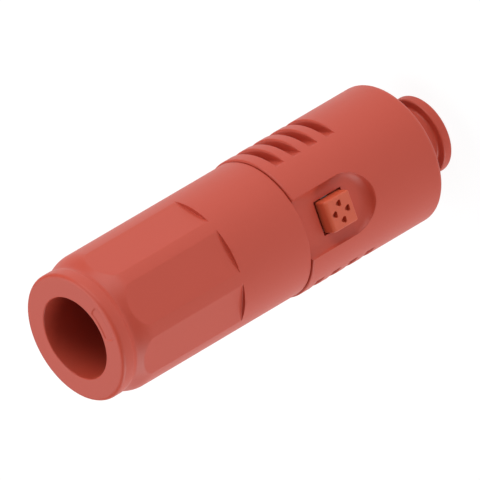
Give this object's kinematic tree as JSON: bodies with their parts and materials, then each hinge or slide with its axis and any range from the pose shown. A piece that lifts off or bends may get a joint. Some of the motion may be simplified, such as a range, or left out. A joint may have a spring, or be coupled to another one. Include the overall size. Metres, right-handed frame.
{
  "type": "power connector plug",
  "caption": "Round single pole power plug for one thick cable, with a press to release latch button, side grip grooves, a cable gland nut with flats and a lipped nose.",
  "frame": {"origin": "centre of the nose's front face, on the plug's axis, at the base that the plug stands on", "axes": "+Z along the plug's axis from the nose to the cable end, -Y out through the release button"},
  "size_m": [0.034, 0.0345, 0.1083],
  "materials": {
    "red_nylon": "satin moulded nylon with a fine grain",
    "orange_red_nylon": "satin moulded nylon",
    "grey_nylon": "satin moulded nylon",
    "spring_steel": "stamped stainless steel",
    "silver_plate": "silver plated copper",
    "gold_strip": "gold plated copper alloy strip",
    "black_rubber": "matt silicone rubber"
  },
  "bodies": {
    "root": {"body_shell": "red_nylon", "nose_insulator": "red_nylon", "insulator_lock_ring": "grey_nylon", "insulator_seal_ring": "black_rubber", "socket_contact": "silver_plate", "contact_grid": "gold_strip", "grid_collar": "silver_plate", "contact_clip": "spring_steel", "contact_seal_ring": "black_rubber", "latch_guide": "grey_nylon", "latch_spring": "spring_steel", "guide_circlip": "spring_steel", "interface_seal": "black_rubber", "nut_seal_ring": "black_rubber", "seal_support_washer": "grey_nylon", "cable_seal": "black_rubber"},
    "gland_follower": {"strain_relief_claw": "grey_nylon", "thrust_washer": "grey_nylon"},
    "gland_nut": {"gland_nut": "red_nylon"},
    "latch": {"release_button": "orange_red_nylon", "latch_plate": "spring_steel"}
  },
  "joints": [
    {"name": "gland_advance", "type": "slide", "parent": "root", "child": "gland_follower", "axis": [0, 0, 1], "range_m": [0, 0.03]},
    {"name": "gland_turn", "type": "hinge", "parent": "gland_follower", "child": "gland_nut", "pos_m": [0, 0, 0.08], "axis": [0, 0, 1], "range_deg": [0, 3600]},
    {"name": "latch_press", "type": "slide", "parent": "root", "child": "latch", "axis": [0, 1, 0], "range_m": [0, 0.0012], "stiffness_N_per_m": 1500, "springref_m": -0.0008, "deforming": ["latch_spring"]}
  ],
  "couplings": [
    {"joint": "gland_turn", "follows": "gland_advance", "rad_per_m": 2094.4}
  ]
}
